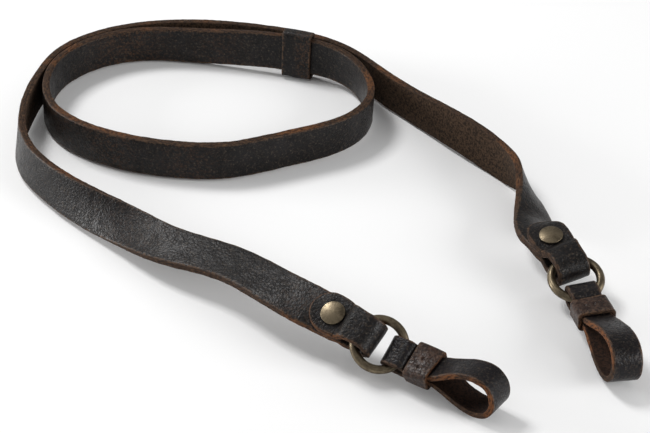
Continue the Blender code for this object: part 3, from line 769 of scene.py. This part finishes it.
def make_run(run, ends):
    """The run with both folded ends as one piece, whose tabs end in half circles.

    At a tip the half width is the radius times the cosine of a turn, at a place that runs with its sine. The
    middle of that half circle lies a little behind the rivet.
    """
    leaf_a, leaf_b = ends[0].leaf(), ends[1].leaf()
    centre = np.vstack([leaf_a[0][::-1], run["centre"], leaf_b[0]]) + SHIFT
    across = np.vstack([leaf_a[1][::-1], run["across"], leaf_b[1]])
    set_back = np.minimum(run["way"], run["length"] - run["way"])
    widths = np.concatenate([leaf_a[2][::-1], run_width(set_back), leaf_b[2]])
    path = path_of(centre, across, closed=False)
    radius = LEAF_WIDTH / 2.0
    length = path["length"]
    tip = np.radians(np.linspace(90.0, 0.0, TIP_STEPS + 1))
    body = path["way"][(path["way"] > radius * PAST_TIP) & (path["way"] < length - radius * PAST_TIP)]
    near_tip = radius * (1.0 - np.sin(tip))
    stations = np.concatenate([near_tip, body, length - near_tip[::-1]])
    half = np.concatenate([
        radius * np.cos(tip), np.interp(body, path["way"], widths), radius * np.cos(tip[::-1])])
    slope = np.gradient(half, stations)
    sine = -slope / np.sqrt(1.0 + slope ** 2)
    sine[:TIP_STEPS + 1] = -np.sin(tip)
    sine[-TIP_STEPS - 1:] = np.sin(tip[::-1])
    leaf_way_a = travelled(leaf_a[0])[-1]
    leaf_way_b = length - travelled(leaf_b[0])[-1]
    from_leaf = np.minimum(stations - leaf_way_a, leaf_way_b - stations)
    flesh = np.outer(ease((from_leaf - RIVET_SET_BACK) / DYE_FADE), STRAP_PROFILE["flesh"])
    worn = worn_by(stations, RUN_WEAR, length, STRAP_PROFILE["flesh"])
    surface = carry(path, stations, half, STRAP_PROFILE, sine)
    make_leather("strap_run", surface, strap_leather, flesh, worn,
                 seed=23, faces_by=0.00006, cut_by=0.00006)


run = lay_run(turn)
ends = (End(run, "a"), End(run, "b"))
make_run(run, ends)


# The slide keeper
# A short slide of thinner leather from the same hide, wrapped once round the turn and closed behind it, so
# that the strap's length can be shifted. Its front has lost its dye down the right half.
WRAP_ROUND = 0.00030


def around_tube(half_side, half_up, corner, wall, count):
    """The middle line of a flat tube's wall and the way out of it: a rectangle with round corners.

    The corners are quarter circles, the sides are straight, and the points are even along the line.
    """
    a, b = half_side + wall / 2.0 - corner, half_up + wall / 2.0 - corner
    turns = np.radians(np.linspace(0.0, 90.0, 13))
    line, out = [], []
    for quarter, (x, y) in enumerate(((a, b), (-a, b), (-a, -b), (a, -b))):
        turned = turns + quarter * math.pi / 2.0
        way_out = np.column_stack([np.cos(turned), np.sin(turned)])
        out.append(way_out)
        line.append(np.array([x, y]) + corner * way_out)
    line, out = np.vstack(line + [line[0][:1]]), np.vstack(out + [out[0][:1]])
    way = travelled(line)
    even = np.linspace(0.0, way[-1], count + 1)
    return even, columns_at(even[:-1], way, line), unit(columns_at(even[:-1], way, out))


def wrap(frames, length, half_side, half_up, wall, count, face_points):
    """A flat tube of leather: the cut profile of its wall goes round the tube's line.

    frames gives the tube's middle, its side and its up at distances along it, so the tube can follow a bend.
    """
    profile = cut_profile(wall, WRAP_ROUND, WRAP_ROUND * 0.6, face_points)
    even, line, out = around_tube(half_side, half_up, wall / 2.0 + 2.0 * CLEARANCE, wall, count)
    along = (length / 2.0 - profile["inset"]) * profile["share"]
    centre, side, up = frames(along)
    flat = line[:, None] - out[:, None] * profile["depth"][:, None]
    points = centre + side * flat[..., :1] + up * flat[..., 1:]
    surface = {"points": points, "edge": length / 2.0 - np.abs(along), "cut": profile["cut"], "closed": True,
               "lay": grid_of(even, around_profile(along, profile["depth"]))}
    return surface, profile, line


def keeper_frames(along):
    """The turn's middle, its side and the way to its flesh side, at distances from the keeper's place."""
    at = KEEPER_PLACE * turn["length"] + along
    read = [columns_at(at, turn["way"], turn[key]) for key in ("centre", "across", "flesh")]
    return read[0] + SHIFT, unit(read[1]), unit(read[2])


surface, profile, _ = wrap(
    keeper_frames, KEEPER_LENGTH, STRAP_WIDTH / 2.0 + CLEARANCE + KEEPER_SLACK,
    STRAP_THICKNESS / 2.0 + CLEARANCE, KEEPER_WALL, count=110, face_points=21)
worn_half = ease(0.5 + profile["share"] * 1.2) * 0.9
make_leather("slide_keeper", surface, strap_leather, profile["flesh"], worn_half,
             seed=37, faces_by=0.00005, cut_by=0.00004)


# The rings
# Round rings of drawn brass wire, butted and soldered, then darkened to an antique finish that has rubbed
# bright along the outside. One is held in each folded end of the run.
def brass(name, streaks):
    """Antique brass: a brown film over yellow metal, rubbed through in blots and along fine streaks."""
    finish = Finish(name)
    blotch = finish.cloud(finish.place, 0.0022, 4.0, 0.6)
    fine = finish.cloud(finish.place, 0.00035, 3.0, 0.6)
    line = finish.node("ShaderNodeTexNoise", {}, {
        "Vector": finish.scaled(finish.lay(), streaks), "Scale": 1.0, "Detail": 3.0}, "Fac")
    film = (blotch * 0.6 + fine * 0.25 + line * 0.35 - 0.08).between(0.36, 0.66)
    tone = finish.mix(film, colour(74, 66, 54), colour(126, 114, 94))
    rough = 0.46 - film * 0.16 + fine * 0.10
    height = line * 0.6 + fine * 0.4
    return finish.shade({"Base Color": tone, "Metallic": 1.0, "Roughness": rough.clear(),
                         "Normal": finish.relief(height, 0.00003)})


def wire_ring(end):
    """A torus: a small circle carried round a large one, both about the ring's own axis."""
    big = np.linspace(0.0, 2.0 * math.pi, 121)
    small = np.linspace(0.0, 2.0 * math.pi, 25)
    side = np.cross(end.ring_up, end.ring_out)
    outward = np.outer(np.cos(big[:-1]), end.ring_out) + np.outer(np.sin(big[:-1]), side)
    away = outward[:, None] * np.cos(small[:-1])[:, None] + end.ring_up * np.sin(small[:-1])[:, None]
    points = end.ring_centre + SHIFT + outward[:, None] * RING_RADIUS + away * WIRE_RADIUS
    lay = grid_of(big * RING_RADIUS, small * WIRE_RADIUS)
    return skin("ring_" + end.which + "_wire", points, True, lay, {})


ring_brass = brass("ring_brass_finish", (500.0, 2600.0, 1.0))
for end in ends:
    ring = "ring_" + end.which
    make_piece(ring + "_wire", wire_ring(end), ring_brass, ring)


# The rivets
# Two-part tubular rivets: a low domed head, spun so that its brushing runs out from the middle, on a post
# that goes through both layers, and a flat washer that the post is set into underneath.
CAP_RIM = 0.0005
CAP_DOME = 0.0006
POST_RADIUS = 0.0014
BACK_RADIUS = 0.0032
BACK_THICKNESS = 0.0005


def turned(name, end, profile):
    """A turned piece: a profile of radius and height, from top to bottom, taken once round the rivet."""
    middle, way_out = end.rivet_frame()
    side = unit(end.side - way_out * (end.side @ way_out))
    third = np.cross(way_out, side)
    radius, height = np.array(profile).T
    angle = np.linspace(0.0, 2.0 * math.pi, 97)
    around = np.outer(np.cos(angle[:-1]), side) + np.outer(np.sin(angle[:-1]), third)
    points = middle + SHIFT + around * radius[:, None, None] + way_out * height[:, None, None]
    return skin(name, points, False, grid_of(np.append(radius, 0.0), angle * CAP_RADIUS), {})


def cap_profile(over, under):
    """The head from its middle out: a shallow arc, a rolled rim, its flat underside, and the post."""
    turns = np.linspace(0.0, 1.0, 15)
    dome = [(CAP_RADIUS * 0.94 * t, over + CAP_RIM + CAP_DOME * (1.0 - t * t) * 0.9) for t in turns]
    roll = [(CAP_RADIUS * (0.94 + 0.06 * math.sin(t)), over + CAP_RIM * (0.45 + 0.55 * math.cos(t)))
            for t in np.radians(np.linspace(12.0, 150.0, 9))]
    return dome + roll + [(CAP_RADIUS * 0.90, over), (POST_RADIUS, over), (POST_RADIUS, under), (0.0, under)]


def back_profile(under):
    """The washer from the leather down: flat against it, with a rounded lower rim."""
    roll = [(BACK_RADIUS * (0.90 + 0.10 * math.cos(t)), under - BACK_THICKNESS * (0.5 + 0.5 * math.sin(t)))
            for t in np.radians(np.linspace(0.0, 90.0, 7))]
    return [(0.0, under), (BACK_RADIUS * 0.97, under)] + roll + [
        (POST_RADIUS, under - BACK_THICKNESS), (POST_RADIUS * 0.6, under - BACK_THICKNESS * 0.7),
        (0.0, under - BACK_THICKNESS * 0.7)]


rivet_brass = brass("rivet_brass_finish", (160.0, 1500.0, 1.0))
for end in ends:
    over = 1.5 * STRAP_THICKNESS + 2.0 * CLEARANCE
    under = -STRAP_THICKNESS / 2.0 - CLEARANCE
    for solid, part, profile in (("rivet_cap_", "_head", cap_profile(over, under + CLEARANCE / 2.0)),
                                 ("rivet_back_", "_washer", back_profile(under))):
        name = solid + end.which + part
        make_piece(name, turned(name, end, profile), rivet_brass, solid + end.which)


# The camera loops
# Narrow straps of lighter leather, one on each ring. Each goes round the wire, is pinched shut by its sleeve
# and then opens as a drop-shaped eye for the camera's lug, whose inside shows the raw flesh side.
LOOP_WIDTH = 0.0101
LOOP_THICKNESS = 0.0020
LOOP_SLACK = 0.35
SLEEVE_START = 0.0044
SLEEVE_LENGTH = 0.0088
EYE_HEIGHT = 0.0140
TWIST_REACH = 0.65
LOOP_STEP = 0.0004

# How each end's camera loop hangs from its ring: its turn round the ring, its twist along its length, and
# the length of its eye
END_ROWS = {
    # turn, twist, eye
    "a": (5.0, 34.0, 0.0232),
    "b": (-9.0, 10.0, 0.0276),
}


class CameraLoop:
    """A camera loop on its ring: its frame at the wire, its side view, and its pitch down to the table."""

    def __init__(self, end):
        turned_by, twist, eye_length = END_ROWS[end.which]
        turned_by, self.twist = math.radians(turned_by), math.radians(twist)
        self.sagitta = wire_sagitta(LOOP_WIDTH / 2.0)
        ring_side = np.cross(end.ring_up, end.ring_out)
        self.away = math.cos(turned_by) * end.ring_out + math.sin(turned_by) * ring_side
        self.side = np.cross(end.ring_up, self.away)
        self.up = end.ring_up
        self.start = end.ring_centre + self.away * RING_RADIUS
        self.pinch = (LOOP_THICKNESS + CLEARANCE) / 2.0
        self.sleeve_end = SLEEVE_START + SLEEVE_LENGTH
        self.reach = self.sleeve_end + eye_length
        self.outline = self.side_view()
        self.pitch = self.pitch_to_table()

    def side_view(self):
        """The loop seen from its side: round the wire, closed under the sleeve, and open as a teardrop.

        The eye's half height is sin(turn) * sin(turn / 2) ** 1.5 over a half turn from pinch to end.
        """
        round_wire = LOOP_THICKNESS / 2.0 + CLEARANCE + WIRE_RADIUS
        radius = round_wire + self.sagitta * LOOP_SLACK
        bend = np.radians(np.linspace(180.0, 90.0, 19))
        fold = np.column_stack([np.cos(bend) * round_wire - self.sagitta, np.sin(bend) * radius])
        nearing = np.linspace(0.0, 1.0, 16)[1:]
        shut_from = WIRE_RADIUS + CLEARANCE
        closing = np.column_stack([
            shut_from + nearing * (SLEEVE_START - shut_from),
            radius + (self.pinch - radius) * ease(nearing)])
        held = np.array([[self.sleeve_end + CLEARANCE, self.pinch]])
        turns = np.radians(np.linspace(0.0, 180.0, 91))[1:]
        form = np.sin(turns) * np.sin(turns / 2.0) ** 1.5
        height = (EYE_HEIGHT - LOOP_THICKNESS) / 2.0 / form.max()
        eye = np.column_stack([
            held[0, 0] + (self.reach - held[0, 0]) * (1.0 - np.cos(turns)) / 2.0,
            self.pinch * np.cos(turns / 2.0) + form * height])
        upper = np.vstack([fold, closing, held, eye])
        lower = upper[1:-1][::-1] * np.array([1.0, -1.0])
        return np.vstack([upper, lower])

    def rows(self, outline, pitch):
        """Centres and ways across of the loop, with the twist growing along it."""
        out = self.away * math.cos(pitch) - self.up * math.sin(pitch)
        up = self.up * math.cos(pitch) + self.away * math.sin(pitch)
        turns = -self.twist * ease(outline[:, 0] / self.reach / TWIST_REACH)
        across = np.outer(np.cos(turns), self.side) + np.outer(np.sin(turns), up)
        rise = np.outer(np.cos(turns), up) - np.outer(np.sin(turns), self.side)
        centre = self.start + np.outer(outline[:, 0], out) + rise * outline[:, 1:2]
        return centre, across, rise

    def lowest(self, pitch):
        """The eye's lowest point at a pitch."""
        eye = self.outline[self.outline[:, 0] > self.sleeve_end]
        centre, across, rise = self.rows(eye, pitch)
        return float(np.min(centre[:, 2] - np.abs(across[:, 2]) * LOOP_WIDTH / 2.0
                            - np.abs(rise[:, 2]) * LOOP_THICKNESS / 2.0))

    def pitch_to_table(self):
        """The pitch at which the loop's far end comes to rest on the table, found by halving."""
        clear, sunk = math.radians(-70.0), math.radians(50.0)
        for _ in range(30):
            middle = (clear + sunk) / 2.0
            if self.lowest(middle) > 0.0:
                clear = middle
            else:
                sunk = middle
        return clear


loop_profile = cut_profile(LOOP_THICKNESS, grain_round=0.00045, flesh_round=0.00030, face_points=13)
loop_leather = leather(
    "loop_leather_finish", dye=colour(12, 10, 12), dye_light=colour(23, 21, 24), hide=colour(70, 46, 36),
    flesh_tone=colour(48, 31, 22), rust_tone=colour(108, 66, 36), cell=0.0010, worn_all=0.08, polish=0.25,
    rusty=0.42)
loops = [CameraLoop(end) for end in ends]
for end, loop, seed in zip(ends, loops, (41, 53)):
    centre, across, _ = loop.rows(loop.outline, loop.pitch)
    way = travelled(np.vstack([centre, centre[:1]]))
    stations = np.linspace(0.0, way[-1], round(way[-1] / LOOP_STEP) + 1)[:-1]
    even_centre = columns_at(stations, way[:-1], centre, way[-1])
    even_across = -unit(columns_at(stations, way[:-1], across, way[-1]))
    path = path_of(even_centre + SHIFT, even_across, closed=True)
    surface = carry(path, path["way"], LOOP_WIDTH / 2.0, loop_profile)
    make_leather("camera_loop_" + end.which, surface, loop_leather,
                 loop_profile["flesh"], worn=0.0, seed=seed, faces_by=0.00006, cut_by=0.00006)


# The sleeves
# Short tubes of thin brown leather that pinch the camera loops shut. Each was sewn through with two stitches
# whose holes show on top, and its dye has flaked off in scales.
SLEEVE_WALL = 0.0011
HOLE_REACH = 0.00088
HOLE_DEPTH = 0.00045

# The stitch holes on the top face, as shares of the sleeve's half length and half width
HOLE_ROWS = (
    # along, across
    (-0.05, -0.52),
    (-0.05, 0.10),
)

sleeve_leather = leather(
    "sleeve_leather_finish", dye=colour(30, 20, 17), dye_light=colour(48, 33, 27), hide=colour(100, 76, 62),
    flesh_tone=colour(50, 34, 26), rust_tone=colour(104, 64, 36), cell=0.0009, worn_all=0.30, polish=0.22,
    rusty=0.42)
for end, loop, seed in zip(ends, loops, (61, 73)):
    def sleeve_frames(along):
        """The loop's middle, side and up at distances from the sleeve's middle."""
        stations = np.column_stack([SLEEVE_START + SLEEVE_LENGTH / 2.0 + along, np.zeros(len(along))])
        centre, side, up = loop.rows(stations, loop.pitch)
        return centre + SHIFT, side, up

    surface, profile, line = wrap(
        sleeve_frames, SLEEVE_LENGTH, LOOP_WIDTH / 2.0 + CLEARANCE,
        loop.pinch + LOOP_THICKNESS / 2.0 + CLEARANCE, SLEEVE_WALL, count=150, face_points=31)
    outer = (profile["depth"] < 0.0) & (profile["cut"] < 0.5)
    on_top = (line[:, 1:] > LOOP_THICKNESS) & outer
    hole = 0.0
    for hole_along, hole_across in HOLE_ROWS:
        off = np.hypot((profile["share"] - hole_along) * SLEEVE_LENGTH / 2.0,
                       line[:, :1] - hole_across * LOOP_WIDTH / 2.0)
        hole = np.maximum(hole, ease(1.0 - off / HOLE_REACH))
    hole = hole * on_top
    _, _, up = sleeve_frames(np.zeros(1))
    surface["points"] = surface["points"] - up[0] * (hole * HOLE_DEPTH)[..., None]
    # painted shade: the worn mark falls below 0 in the stitch holes, so besides being pressed in they keep
    # the full dark dye
    make_leather("loop_sleeve_" + end.which, surface, sleeve_leather,
                 profile["flesh"], 0.2 - hole * 1.2, seed=seed, faces_by=0.00006, cut_by=0.00004)


# The studio
# A pale table under soft light: a panel high at the back left, one low at the left and one at the right
# front, in an even white surround. The camera looks down at the strap with a long lens, as the photo's does.
FOCAL_PIXELS = 1804.0
PHOTO_WIDTH = 650.0
SENSOR_WIDTH = 36.0
CAMERA_PLACE = (0.0456, -0.594, 0.3827)
CAMERA_PITCH = 36.0
TABLE_HALF = 3.0


def make_table():
    """The pale table as one square sheet, just under the strap."""
    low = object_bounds()[0][2]
    mesh = bpy.data.meshes.new("table_sheet")
    corners = [(x * TABLE_HALF, y * TABLE_HALF, low) for x, y in ((-1, -1), (1, -1), (1, 1), (-1, 1))]
    mesh.from_pydata(corners, [], [(0, 1, 2, 3)])
    finish = Finish("table_finish")
    mesh.materials.append(finish.shade({"Base Color": (0.92, 0.92, 0.92, 1.0), "Roughness": 0.9,
                                        "Specular IOR Level": 0.1}))
    table = bpy.data.objects.new("table_sheet", mesh)
    bpy.context.scene.collection.objects.link(table)


def make_panel(name, place, aim, width, height, power):
    """A soft rectangular light at a place, turned to face a point."""
    light = bpy.data.lights.new(name, "AREA")
    light.shape = "RECTANGLE"
    light.size, light.size_y = width, height
    light.energy = power
    panel = bpy.data.objects.new(name, light)
    bpy.context.scene.collection.objects.link(panel)
    way = Vector(aim) - Vector(place)
    panel.location = place
    panel.rotation_euler = way.to_track_quat("-Z", "Y").to_euler()


make_table()
make_panel("top_panel", (-0.48, 0.38, 0.85), (0.0, 0.0, 0.0), 0.30, 0.30, 6.0)
make_panel("left_panel", (-0.90, 0.14, 0.17), (-0.05, 0.0, 0.0), 0.36, 0.30, 6.0)
make_panel("right_panel", (0.85, -0.40, 0.34), (0.0, 0.0, 0.0), 0.60, 0.40, 6.0)

world = bpy.data.worlds.new("studio")
world.use_nodes = True
background = world.node_tree.nodes["Background"]
background.inputs["Color"].default_value = (1.0, 1.0, 1.0, 1.0)
background.inputs["Strength"].default_value = 0.38
bpy.context.scene.world = world
bpy.context.scene.view_settings.view_transform = "Standard"

camera_data = bpy.data.cameras.new("camera")
camera_data.sensor_fit = "HORIZONTAL"
camera_data.sensor_width = SENSOR_WIDTH
camera_data.lens = SENSOR_WIDTH * FOCAL_PIXELS / PHOTO_WIDTH
camera_data.clip_start = 0.01
camera = bpy.data.objects.new("camera", camera_data)
bpy.context.scene.collection.objects.link(camera)
camera.location = np.array(CAMERA_PLACE) + SHIFT
camera.rotation_euler = (math.radians(90.0 - CAMERA_PITCH), 0.0, 0.0)
bpy.context.scene.camera = camera
